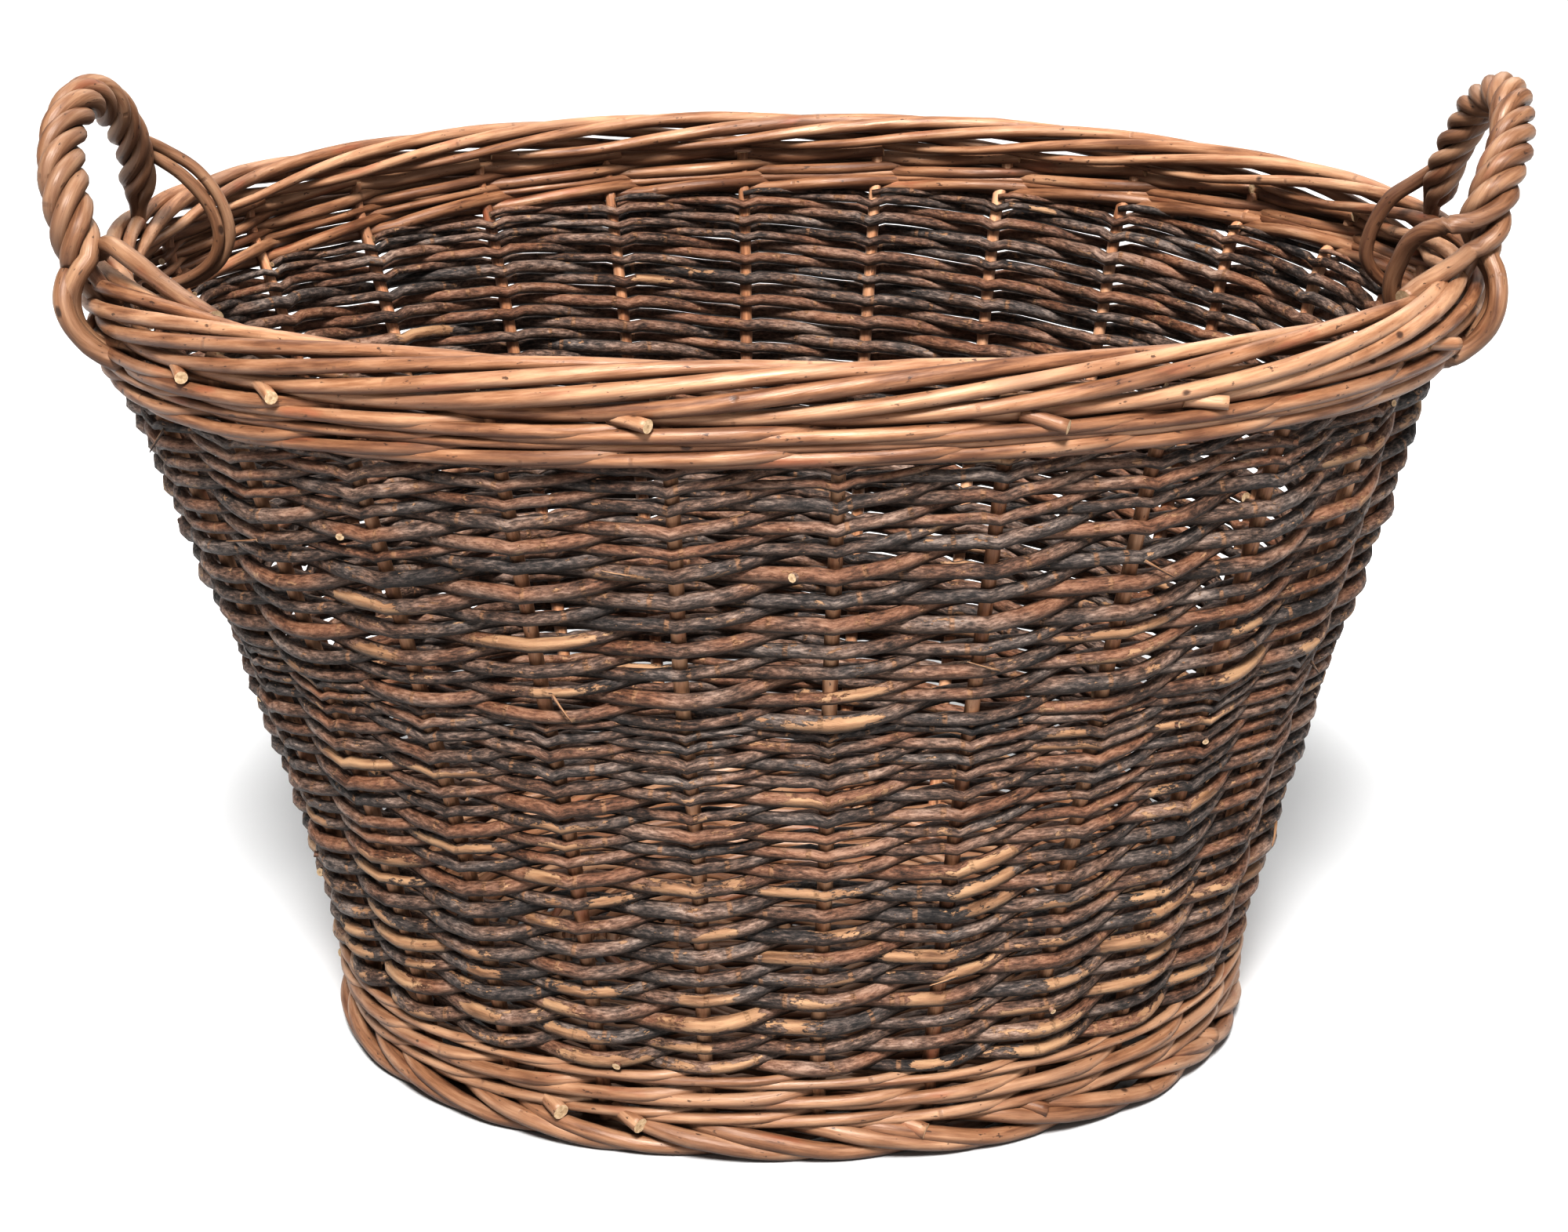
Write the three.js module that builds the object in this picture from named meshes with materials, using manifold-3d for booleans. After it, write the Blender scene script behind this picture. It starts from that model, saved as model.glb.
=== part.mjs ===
// An oval, flared laundry basket of willow rods, with a rolled border and two rope handles.
// Millimetres, +Z up. The origin is on the ground under the middle of the basket, X is the long way.
import * as THREE from "three";
import { mergeVertices } from "three/addons/utils/BufferGeometryUtils.js";
import Module from "manifold-3d";

const wasm = await Module();
wasm.setup();

// Heights of the layers, from the ground up. Neighbours keep GAP between them.
const GAP = 0.3;
const FOOT_TOP = 13.7;
const UPSETT_MIDDLE = 28;
const UPSETT_TOP = 42;
const BAND_MIDDLE = 207;
const BAND_TOP = 316;
const WALE_MIDDLE = 327;
const WALE_TOP = 338;
const RIM_TOP = 364;

// The oval through the middle of the wall, half its length and half its depth, at the ground and at BAND_TOP.
const OVAL_POWER = 2.15;
const GROUND_HALF_LONG = 198;
const GROUND_HALF_DEEP = 176;
const TOP_HALF_LONG = 288;
const TOP_HALF_DEEP = 240;
const WALL_HOLLOW_LONG = 34;
const WALL_HOLLOW_DEEP = 12;

// Thicknesses through the wall, measured each way from its middle.
const FOOT_HALF = 11;
const UPSETT_HALF = 9;
const LOWER_BAND_HALF = 8.5;
const UPPER_BAND_HALF = 7.5;
const WALE_HALF = 8.5;
const WALE_CROWN = 2;
const RIM_HALF = 12;
const RIM_HALF_LONG = 295;
const RIM_HALF_DEEP = 243;

// Stakes: upright rods round the wall, counted from the front, each in its own channel.
const STAKE_COUNT = 26;
const FIRST_STAKE = 0.75 + 0.315 / STAKE_COUNT;
const STAKE_RADIUS = 3.1;
const STAKE_SIDES = 6;
const STAKE_STEPS = 6;
const CHANNEL_HALF = 3.8;
const CHANNEL_SPARE = 5;

// Base: long sticks pushed through slits in thicker cross sticks, with the weave packed round them.
const BASE_BOTTOM = FOOT_TOP + GAP;
const BASE_TOP = 26;
const BASE_INSET = UPSETT_HALF + 2.5;
const CROSS_STICKS = 5;
const CROSS_PITCH = 52;
const CROSS_HALF_WIDE = 4.8;
const CROSS_HALF_TALL = 4.8;
const LONG_STICKS = 3;
const LONG_PITCH = 7.4;
const LONG_RADIUS = 2.4;
const STICK_SIDES = 8;
const STICK_END_INSET = 1.5;
const TUNNEL_RUN_OUT = 6;

// Rope handles: an arched bow with roping rods twisted round it, both ends set in the rim. Each bow runs
// through its stations, which are [place along Y, distance out from the rim's middle line, height].
const LEFT_BOW = [
  [-87, -2, 348],
  [-88, 7, 358],
  [-88, 14, 370],
  [-83, 17, 386],
  [-68, 16.5, 402],
  [-50, 13, 414],
  [-33, 7, 421],
  [-16, 1, 419.5],
  [-1, -4, 411],
  [11, -7, 398],
  [21, -7, 384],
  [29, -5, 369],
  [33, -3, 352],
];
const RIGHT_BOW = [
  [-80, -3, 348],
  [-81, 3, 358],
  [-81, 8, 371],
  [-79, 11, 387],
  [-67, 12.5, 402],
  [-50, 13.5, 413],
  [-32, 12.5, 420],
  [-14, 9, 420.5],
  [1, 5, 413],
  [12, 2, 400.5],
  [21, 0, 386],
  [30, -0.5, 370],
  [36, -2, 352],
];
const BOW_RADIUS = 3;
const ROPING_RODS = 4;
const ROPING_RADIUS = 3;
const ROPING_TURNS = 4;
const ROPING_FRONT_INSET = 26;
const ROPING_BACK_INSET = 28;
const ROPE_RADIUS = BOW_RADIUS + 3 * GAP + ROPING_RADIUS;
const BOW_SIDES = 6;
const BOW_STEPS = 32;
const ROPING_SIDES = 5;
const ROPING_STEPS = 38;
const SOCKET_RADIUS = BOW_RADIUS + 0.4;

const RING_STEPS = 40;
const BAND_STEPS = 2;
const RIM_SIDES = 8;
const LAP_TABLE = 720;
const WELD = 1e-3;

const BUFF = { color: 0xb07a45, roughness: 0.55, metalness: 0 };
const BARK = { color: 0x3f2c22, roughness: 0.75, metalness: 0 };
const PALE = { color: 0xc39a66, roughness: 0.6, metalness: 0 };

// ---- The wall's shape -------------------------------------------------------------------------

// Half length and half depth of the wall's middle oval at a height.
function ovalAt(height) {
  const up = height / BAND_TOP;
  const hollow = up * (1 - up);
  return {
    long: THREE.MathUtils.lerp(GROUND_HALF_LONG, TOP_HALF_LONG, up) - WALL_HOLLOW_LONG * hollow,
    deep: THREE.MathUtils.lerp(GROUND_HALF_DEEP, TOP_HALF_DEEP, up) - WALL_HOLLOW_DEEP * hollow,
  };
}

function signedPower(value, power) {
  return Math.sign(value) * Math.abs(value) ** power;
}

// The point of an oval at a direction angle, grown outwards by an offset.
function ovalPoint(oval, angle, offset = 0) {
  const x = oval.long * signedPower(Math.cos(angle), 2 / OVAL_POWER);
  const y = oval.deep * signedPower(Math.sin(angle), 2 / OVAL_POWER);
  const out = new THREE.Vector2(
    signedPower(x / oval.long, OVAL_POWER - 1) / oval.long,
    signedPower(y / oval.deep, OVAL_POWER - 1) / oval.deep,
  ).normalize();
  return new THREE.Vector2(x + out.x * offset, y + out.y * offset);
}

// How far round the lap each step of direction angle is, by length along the middle oval.
function makeLapFractions() {
  const oval = ovalAt(BAND_MIDDLE);
  const lengths = [0];
  let last = ovalPoint(oval, 0);
  for (let i = 1; i <= LAP_TABLE; i++) {
    const next = ovalPoint(oval, (2 * Math.PI * i) / LAP_TABLE);
    lengths.push(lengths[i - 1] + next.distanceTo(last));
    last = next;
  }
  return lengths.map((length) => length / lengths[LAP_TABLE]);
}

const LAP_FRACTIONS = makeLapFractions();

// The direction angle of a lap position: 0 is at +X, and it grows to 1 round through +Y.
function lapAngle(lap) {
  const turn = lap - Math.floor(lap);
  let i = 1;
  while (i < LAP_TABLE && LAP_FRACTIONS[i] < turn) i++;
  const part = (turn - LAP_FRACTIONS[i - 1]) / (LAP_FRACTIONS[i] - LAP_FRACTIONS[i - 1]);
  return (2 * Math.PI * (i - 1 + part)) / LAP_TABLE;
}

// ---- Solids -----------------------------------------------------------------------------------

function solidOf(geometry) {
  const bare = geometry.index ? geometry.toNonIndexed() : geometry.clone();
  bare.deleteAttribute("normal");
  bare.deleteAttribute("uv");
  const merged = mergeVertices(bare, WELD);
  const mesh = new wasm.Mesh({
    numProp: 3,
    vertProperties: merged.attributes.position.array,
    triVerts: new Uint32Array(merged.index.array),
  });
  return new wasm.Manifold(mesh);
}

function geometryOf(solid) {
  const mesh = solid.getMesh();
  const geometry = new THREE.BufferGeometry();
  geometry.setAttribute("position", new THREE.BufferAttribute(mesh.vertProperties, 3));
  geometry.setIndex(new THREE.BufferAttribute(mesh.triVerts, 1));
  geometry.computeVertexNormals();
  return geometry;
}

function cut(geometry, cutters) {
  let solid = solidOf(geometry);
  for (const cutter of cutters) solid = solid.subtract(solidOf(cutter));
  return geometryOf(solid);
}

// Moves every vertex of a geometry to where a function says.
function reshape(geometry, move) {
  const position = geometry.attributes.position;
  const vertex = new THREE.Vector3();
  for (let i = 0; i < position.count; i++) {
    move(vertex.fromBufferAttribute(position, i));
    position.setXYZ(i, vertex.x, vertex.y, vertex.z);
  }
  return geometry;
}

// A closed ring round the basket. Its section is a list of [offset from the wall's middle, height].
function ring(section, ovalFor) {
  const reach = 2 * Math.max(...section.map(([offset]) => Math.abs(offset)));
  const profile = section.map(([offset, height]) => new THREE.Vector2(reach + offset, height));
  profile.push(profile[0].clone());
  const lathe = new THREE.LatheGeometry(profile, RING_STEPS);
  return reshape(lathe, (v) => {
    const offset = Math.hypot(v.x, v.z) - reach;
    const lap = Math.round((Math.atan2(v.x, v.z) / (2 * Math.PI)) * RING_STEPS) / RING_STEPS;
    const place = ovalPoint(ovalFor(v.y), lapAngle(lap), offset);
    v.set(place.x, place.y, v.y);
  });
}

// The section of a band of weave, from one height to another, in straight steps up the wall.
function bandSection(bottom, top, half, steps) {
  const section = [];
  for (let i = 0; i <= steps; i++) section.push([half, THREE.MathUtils.lerp(bottom, top, i / steps)]);
  for (let i = steps; i >= 0; i--) section.push([-half, THREE.MathUtils.lerp(bottom, top, i / steps)]);
  return section;
}

// The section of one round of waling, crowned on both faces.
function waleSection(bottom, top, half) {
  const middle = (bottom + top) / 2;
  const flat = half - WALE_CROWN;
  return [
    [flat, bottom],
    [half, middle],
    [flat, top],
    [-flat, top],
    [-half, middle],
    [-flat, bottom],
  ];
}

// Wraps an upright geometry, made at the origin, onto the wall at a lap position: X runs along the wall,
// Y goes outwards and Z is the height.
function onWall(geometry, lap) {
  const angle = lapAngle(lap);
  return reshape(geometry, (v) => {
    const oval = ovalAt(v.z);
    const middle = ovalPoint(oval, angle);
    const outward = ovalPoint(oval, angle, 1).sub(middle);
    v.set(
      middle.x + outward.x * v.y + outward.y * v.x,
      middle.y + outward.y * v.y - outward.x * v.x,
      v.z,
    );
  });
}

function stakeGeometry(bottom, top, index) {
  const rod = new THREE.CylinderGeometry(STAKE_RADIUS, STAKE_RADIUS, top - bottom, STAKE_SIDES, STAKE_STEPS);
  rod.rotateX(Math.PI / 2);
  rod.translate(0, 0, (bottom + top) / 2);
  return onWall(rod, FIRST_STAKE + index / STAKE_COUNT);
}

// The channels that the stakes stand in, over one band, bent in as many straight steps as the band.
function stakeChannels(bottom, top, steps) {
  const channels = [];
  const height = top - bottom + 2 * CHANNEL_SPARE;
  for (let i = 0; i < STAKE_COUNT; i++) {
    const channel = new THREE.BoxGeometry(2 * CHANNEL_HALF, 2 * CHANNEL_HALF, height, 1, 1, steps);
    channel.translate(0, 0, (bottom + top) / 2);
    channels.push(onWall(channel, FIRST_STAKE + i / STAKE_COUNT));
  }
  return channels;
}

function wovenRing(section, bottom, top, steps) {
  return cut(ring(section, ovalAt), stakeChannels(bottom, top, steps));
}

// ---- Base -------------------------------------------------------------------------------------

function baseOutline(inset) {
  const oval = ovalAt(BASE_BOTTOM);
  const points = [];
  for (let i = 0; i < RING_STEPS; i++) points.push(ovalPoint(oval, lapAngle(i / RING_STEPS), -inset));
  return points;
}

function basePlate() {
  const plate = new THREE.ExtrudeGeometry(new THREE.Shape(baseOutline(BASE_INSET)), {
    depth: BASE_TOP - BASE_BOTTOM,
    bevelEnabled: false,
  });
  return plate.translate(0, 0, BASE_BOTTOM);
}

const STICK_HEIGHT = (BASE_BOTTOM + BASE_TOP) / 2;

// Half the length of a base stick at a distance off the middle line, ending just inside the plate's edge.
function stickReach(along, across, off) {
  const fraction = Math.abs(off / across) ** OVAL_POWER;
  return along * (1 - fraction) ** (1 / OVAL_POWER) - STICK_END_INSET;
}

function longStick(index, spare = 0, runOut = 0) {
  const oval = ovalAt(BASE_BOTTOM);
  const off = (index - (LONG_STICKS - 1) / 2) * LONG_PITCH;
  const reach = stickReach(oval.long - BASE_INSET, oval.deep - BASE_INSET, off);
  const radius = LONG_RADIUS + spare;
  const rod = new THREE.CylinderGeometry(radius, radius, 2 * (reach + runOut), STICK_SIDES);
  return rod.rotateZ(Math.PI / 2).translate(0, off, STICK_HEIGHT);
}

function crossStick(index, spare = 0, runOut = 0) {
  const oval = ovalAt(BASE_BOTTOM);
  const off = (index - (CROSS_STICKS - 1) / 2) * CROSS_PITCH;
  const reach = stickReach(oval.deep - BASE_INSET, oval.long - BASE_INSET, off);
  const rod = new THREE.CylinderGeometry(1, 1, 2 * (reach + runOut), STICK_SIDES);
  rod.scale(CROSS_HALF_WIDE + spare, 1, CROSS_HALF_TALL + spare);
  return rod.translate(off, 0, STICK_HEIGHT);
}

// The tunnels through the plate that the sticks lie in.
function stickTunnels() {
  const tunnels = [];
  for (let i = 0; i < LONG_STICKS; i++) tunnels.push(longStick(i, GAP, TUNNEL_RUN_OUT));
  for (let i = 0; i < CROSS_STICKS; i++) tunnels.push(crossStick(i, GAP, TUNNEL_RUN_OUT));
  return tunnels;
}

function piercedCrossStick(index) {
  const slits = [];
  for (let i = 0; i < LONG_STICKS; i++) slits.push(longStick(i, GAP));
  return cut(crossStick(index), slits);
}

// ---- Handles ----------------------------------------------------------------------------------

// The curve that a bow follows, on the left side (-1) or the right side (1) of the basket.
function bowPath(side, stations) {
  const points = stations.map(([along, out, height]) => {
    const deepShare = Math.abs(along / RIM_HALF_DEEP) ** OVAL_POWER;
    const rim = RIM_HALF_LONG * (1 - deepShare) ** (1 / OVAL_POWER);
    return new THREE.Vector3(side * (rim + out), along, height);
  });
  return new THREE.CatmullRomCurve3(points);
}

// One roping rod: a helix round the bow, over the stretch that stands clear of the rim.
class RopingHelix extends THREE.Curve {
  constructor(bow, phase) {
    super();
    this.bow = bow;
    this.phase = phase;
  }

  getPoint(t, target = new THREE.Vector3()) {
    const length = this.bow.getLength();
    const u = THREE.MathUtils.lerp(ROPING_FRONT_INSET, length - ROPING_BACK_INSET, t) / length;
    const tangent = this.bow.getTangentAt(u);
    const across = new THREE.Vector3(1, 0, 0).addScaledVector(tangent, -tangent.x).normalize();
    const up = tangent.cross(across);
    const angle = this.phase + 2 * Math.PI * ROPING_TURNS * t;
    this.bow.getPointAt(u, target);
    target.addScaledVector(across, ROPE_RADIUS * Math.cos(angle));
    return target.addScaledVector(up, ROPE_RADIUS * Math.sin(angle));
  }
}

function tube(path, radius, sides, steps) {
  const section = new THREE.Shape();
  for (let i = 0; i < sides; i++) {
    const angle = (2 * Math.PI * i) / sides;
    section[i ? "lineTo" : "moveTo"](radius * Math.cos(angle), radius * Math.sin(angle));
  }
  return new THREE.ExtrudeGeometry(section, { steps, extrudePath: path, bevelEnabled: false });
}

const BOWS = { left: bowPath(-1, LEFT_BOW), right: bowPath(1, RIGHT_BOW) };

// ---- Rim --------------------------------------------------------------------------------------

function rimGeometry() {
  const middle = (WALE_TOP + RIM_TOP) / 2;
  const halfTall = (RIM_TOP - WALE_TOP) / 2;
  const section = [];
  for (let i = 0; i < RIM_SIDES; i++) {
    const angle = (2 * Math.PI * i) / RIM_SIDES;
    section.push([RIM_HALF * Math.cos(angle), middle + halfTall * Math.sin(angle)]);
  }
  const roll = ring(section, () => ({ long: RIM_HALF_LONG, deep: RIM_HALF_DEEP }));
  const sockets = Object.values(BOWS).map((bow) => tube(bow, SOCKET_RADIUS, BOW_SIDES, BOW_STEPS));
  return cut(roll, sockets);
}

// ---- The whole basket -------------------------------------------------------------------------

const basket = new THREE.Group();

function addPiece(name, geometry, finish) {
  const mesh = new THREE.Mesh(geometry, new THREE.MeshStandardMaterial(finish));
  mesh.name = name;
  basket.add(mesh);
}

function addWale(name, bottom, top, half) {
  addPiece(name, wovenRing(waleSection(bottom, top, half), bottom, top, 1), BUFF);
}

function addBand(name, bottom, top, half) {
  const section = bandSection(bottom, top, half, BAND_STEPS);
  addPiece(name, wovenRing(section, bottom, top, BAND_STEPS), BARK);
}

addPiece("foot_border", ring(waleSection(0, FOOT_TOP, FOOT_HALF), ovalAt), BUFF);
addPiece("base_weave", cut(basePlate(), stickTunnels()), PALE);
for (let i = 0; i < LONG_STICKS; i++) addPiece("base_long_stick_" + (i + 1), longStick(i), PALE);
for (let i = 0; i < CROSS_STICKS; i++) addPiece("base_cross_stick_" + (i + 1), piercedCrossStick(i), PALE);

addWale("upsett_wale_lower", BASE_BOTTOM, UPSETT_MIDDLE - GAP, UPSETT_HALF);
addWale("upsett_wale_upper", UPSETT_MIDDLE, UPSETT_TOP - GAP, UPSETT_HALF);
addBand("lower_randing", UPSETT_TOP, BAND_MIDDLE - GAP, LOWER_BAND_HALF);
addBand("upper_randing", BAND_MIDDLE, BAND_TOP - GAP, UPPER_BAND_HALF);
addWale("top_wale_lower", BAND_TOP, WALE_MIDDLE - GAP, WALE_HALF);
addWale("top_wale_upper", WALE_MIDDLE, WALE_TOP - GAP, WALE_HALF);
addPiece("rim_border", rimGeometry(), BUFF);

for (let i = 0; i < STAKE_COUNT; i++) {
  const name = "stake_" + String(i + 1).padStart(2, "0");
  addPiece(name, stakeGeometry(BASE_BOTTOM, WALE_TOP - GAP, i), BUFF);
}

for (const [side, bow] of Object.entries(BOWS)) {
  addPiece(side + "_handle_bow", tube(bow, BOW_RADIUS, BOW_SIDES, BOW_STEPS), BUFF);
  for (let i = 0; i < ROPING_RODS; i++) {
    const helix = new RopingHelix(bow, (2 * Math.PI * i) / ROPING_RODS);
    const rod = tube(helix, ROPING_RADIUS, ROPING_SIDES, ROPING_STEPS);
    addPiece(side + "_handle_roping_" + (i + 1), rod, BUFF);
  }
}

export default basket;
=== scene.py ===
"""A woven willow laundry basket, rod by rod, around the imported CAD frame. Metres, +Z up."""
import math

import bpy
import numpy as np
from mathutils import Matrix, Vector


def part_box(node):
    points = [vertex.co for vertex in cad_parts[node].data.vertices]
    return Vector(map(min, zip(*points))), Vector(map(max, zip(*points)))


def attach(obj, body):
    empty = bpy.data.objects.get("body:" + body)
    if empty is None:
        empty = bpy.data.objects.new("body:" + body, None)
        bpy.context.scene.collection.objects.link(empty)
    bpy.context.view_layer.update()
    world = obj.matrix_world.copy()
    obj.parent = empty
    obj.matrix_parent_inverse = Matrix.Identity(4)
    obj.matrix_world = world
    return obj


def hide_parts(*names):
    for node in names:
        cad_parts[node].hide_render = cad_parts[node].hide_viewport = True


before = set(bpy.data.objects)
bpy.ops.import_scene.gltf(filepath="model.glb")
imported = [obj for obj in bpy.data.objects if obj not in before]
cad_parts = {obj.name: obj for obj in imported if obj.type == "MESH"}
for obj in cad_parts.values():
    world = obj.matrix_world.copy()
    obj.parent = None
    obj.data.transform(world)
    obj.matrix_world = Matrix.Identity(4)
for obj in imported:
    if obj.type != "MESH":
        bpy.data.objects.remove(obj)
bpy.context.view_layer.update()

MM = 0.001
BODY = "root"


def nodes_named(start):
    return [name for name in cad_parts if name.startswith(start)]


STAKES = len(nodes_named("stake_"))

# ---- The wall's shape ----
# The oval through the middle of the wall: half length and half depth at the ground, at the top of the
# upper band and at the rim. HOLLOW is four times how far the wall is hollowed half way up.
OVAL_POWER = 2.15
GROUND_HALF = np.array([198, 176]) * MM
TOP_HALF = np.array([288, 240]) * MM
RIM_HALF = np.array([295, 243]) * MM
HOLLOW = np.array([34, 12]) * MM
LAP_TABLE = 1440
# Rods below this height are offset level, and those above twice this height square to the wall's slope.
LEVEL_BELOW = 14 * MM
# The rim waves twice a lap and hangs a little at the front, and the wall below follows it less and less.
RIM_WAVE = 2.8 * MM
FRONT_DROP = 2.3 * MM
WAVE_FROM = 120 * MM
WAVE_FADE = 196 * MM
# How far the bottom of the top waling is pressed up, from the left end (-1) to the right end (1).
LIFT_PLACES = [-1, -0.75, -0.5, 0, 0.3, 1]
WALE_LIFTS = np.array([0, 0, 5, 9, 11, 12]) * MM
LIFT_FROM = 200 * MM
# How far the hand-made wall is pushed in at its right end, and at heights of its left end.
RIGHT_PUSH = 6 * MM
RIGHT_PUSH_HEIGHT = 305 * MM
RIGHT_PUSH_SPREAD = 32 * MM
LEFT_PUSH_HEIGHTS = np.array([0, 60, 130, 230]) * MM
LEFT_PUSHES = np.array([12.5, 11, 6, 0]) * MM


def top_of(node):
    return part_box(node)[1][2]


def bottom_of(node):
    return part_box(node)[0][2]


BAND_TOP = bottom_of("top_wale_lower")
RIM_TOP = top_of("rim_border")
RIM_BOTTOM = bottom_of("rim_border")
RIM_MIDDLE = (RIM_TOP + RIM_BOTTOM) / 2


def half_sizes(height):
    """Half length and half depth of the wall's middle oval at each height, blending out to the rim."""
    up = np.asarray(height)[..., None] / BAND_TOP
    half = GROUND_HALF + (TOP_HALF - GROUND_HALF) * up - HOLLOW * up * (1 - up)
    share = np.clip((up * BAND_TOP - BAND_TOP) / (RIM_MIDDLE - BAND_TOP), 0, 1)
    return half * (1 - share) + RIM_HALF * share


def signed_power(value, power):
    return np.sign(value) * np.abs(value) ** power


def unit(vectors):
    return vectors / np.linalg.norm(vectors, axis=-1, keepdims=True)


def distances(points):
    """How far along a line each of its points is."""
    return np.concatenate([[0], np.cumsum(np.linalg.norm(np.diff(points, axis=0), axis=1))])


def oval_points(half, angle):
    """Points of an oval, and its outward normals, at direction angles."""
    round_point = np.stack([signed_power(np.cos(angle), 2 / OVAL_POWER),
                            signed_power(np.sin(angle), 2 / OVAL_POWER)], axis=-1)
    return round_point * half, unit(signed_power(round_point, OVAL_POWER - 1) / half)


# How far round the lap each step of direction angle is, by length.
LAP_ANGLES = np.linspace(0, 2 * math.pi, LAP_TABLE + 1)
LAP_LENGTHS = distances(oval_points(half_sizes(np.array(top_of("lower_randing"))), LAP_ANGLES)[0])
LAP_LENGTHS = LAP_LENGTHS / LAP_LENGTHS[-1]
# The first stake stands a part of a space to the right of the middle of the front.
FIRST_STAKE = 0.75 + 0.315 / STAKES


def stake_angle(stake):
    """Direction angle of a place round the wall, counted in stakes from the first one at the front."""
    lap = FIRST_STAKE + np.asarray(stake) / STAKES
    return np.interp(lap - np.floor(lap), LAP_LENGTHS, LAP_ANGLES)


def sag(stake, height):
    """How far the top of the basket waves up and down, and how far the top waling is pressed up."""
    height, angle = np.asarray(height), stake_angle(stake)
    share = np.clip((height - WAVE_FROM) / WAVE_FADE, 0, 1)
    wave = RIM_WAVE * np.cos(4 * math.pi * np.asarray(stake) / STAKES)
    wave = wave - FRONT_DROP * np.clip(-np.sin(angle), 0, 1) ** 2
    pressed = np.interp(np.cos(angle), LIFT_PLACES, WALE_LIFTS)
    return wave * share + pressed * np.interp(height, [LIFT_FROM, BAND_TOP, RIM_BOTTOM], [0, 1, 0])


def squeeze(x, height):
    """How far the hand-made wall is pushed in near the top of the right end and low on the left end."""
    right = RIGHT_PUSH * np.exp(-((height - RIGHT_PUSH_HEIGHT) / RIGHT_PUSH_SPREAD) ** 2) * (x > 0)
    left = np.interp(height, LEFT_PUSH_HEIGHTS, LEFT_PUSHES) * (x < 0)
    return (right - left) * (x / TOP_HALF[0]) ** 2


def wall(stake, height, offset):
    """Points at offsets out from the wall, square to its slope, and the outward directions there."""
    stake, height, offset = np.broadcast_arrays(stake, height, offset)
    angle = stake_angle(stake)
    flat, normal = oval_points(half_sizes(height), angle)
    flare = np.sum((oval_points(half_sizes(height + MM), angle)[0] - flat) * normal, axis=-1) / MM
    flare = flare * np.clip((height - LEVEL_BELOW) / LEVEL_BELOW, 0, 1)
    outs = np.column_stack([normal, -flare]) / np.sqrt(1 + flare ** 2)[:, None]
    points = np.column_stack([flat, height + sag(stake, height)]) + outs * offset[:, None]
    points[:, 0] -= squeeze(points[:, 0], height)
    return points, outs


# ---- Rods ----
# How far along a rod a node's swelling reaches, and the share by which its thickness wanders.
NODE_SPREAD = 4 * MM
THICKNESS_DRIFT = 0.05
# The UV map: the share of its width that the tubes take, and of a row's height, with a margin.
TUBE_WIDTH = 0.96
ROW_MARGIN, ROW_FILL = 0.06, 0.88
# Rods take their bark from different stretches of one pattern this long, in metres.
SEED_LENGTH = 40


def smooth_noise(rng, count, spacing):
    """A smooth random curve of about unit height, with one free value every so many samples."""
    knots = max(3, int(count / spacing) + 3)
    values = rng.uniform(-1, 1, knots)
    x = np.linspace(0.5, knots - 2.5, count)
    low = np.floor(x).astype(int)
    part = x - low
    ease = part * part * (3 - 2 * part)
    return values[low] * (1 - ease) + values[low + 1] * ease


class Rod:
    """One willow rod: its centre line, outward directions, radii and how far each place is rubbed bare."""

    def __init__(self, points, outs, radii, rub=0.0, rub_turn=0.0):
        self.points = np.asarray(points, float)
        self.outs = np.broadcast_to(outs, self.points.shape).astype(float)
        self.radii = np.broadcast_to(radii, len(self.points)).astype(float)
        self.rub = np.broadcast_to(rub, len(self.points)).astype(float)
        self.rub_turn = np.broadcast_to(rub_turn, len(self.points)).astype(float)


def add_nodes(rng, rod, every=0.075, swell=0.10):
    """Swells a rod a little at its leaf nodes and wanders its thickness."""
    along = distances(rod.points)
    places = np.arange(rng.uniform(0, every), along[-1], every)
    places = places + rng.uniform(-0.25, 0.25, len(places)) * every
    bump = np.zeros(len(along))
    for place in places:
        bump += np.exp(-((along - place) / NODE_SPREAD) ** 2) * rng.uniform(0.4, 1)
    drift = smooth_noise(rng, len(along), 9)
    rod.radii = rod.radii * (1 + swell * bump + THICKNESS_DRIFT * drift)
    return rod


def rod_rings(rod, turns):
    """The rings of points of a rod's surface, at angles round it from its outward direction."""
    tangent = unit(np.gradient(rod.points, axis=0))
    out = unit(rod.outs - tangent * np.sum(rod.outs * tangent, axis=1, keepdims=True))
    across = np.cross(tangent, out)
    ring = out[:, None] * np.cos(turns)[None, :, None] + across[:, None] * np.sin(turns)[None, :, None]
    return rod.points[:, None] + ring * rod.radii[:, None, None]


def tube_faces(start, count, sides):
    """The faces along a tube, and those that close its ends."""
    i, k = np.meshgrid(np.arange(count - 1), np.arange(sides), indexing="ij")
    low, high, following = i * sides, (i + 1) * sides, (k + 1) % sides
    quads = np.stack([low + k, low + following, high + following, high + k], axis=-1)
    k = np.arange(sides)
    following = (k + 1) % sides
    centres = start + count * sides
    last_ring = start + (count - 1) * sides
    low_cap = np.stack([np.full(sides, centres), start + following, start + k], axis=-1)
    high_cap = np.stack([np.full(sides, centres + 1), last_ring + k, last_ring + following], axis=-1)
    return quads.reshape(-1, 4) + start, np.concatenate([low_cap, high_cap])


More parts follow.
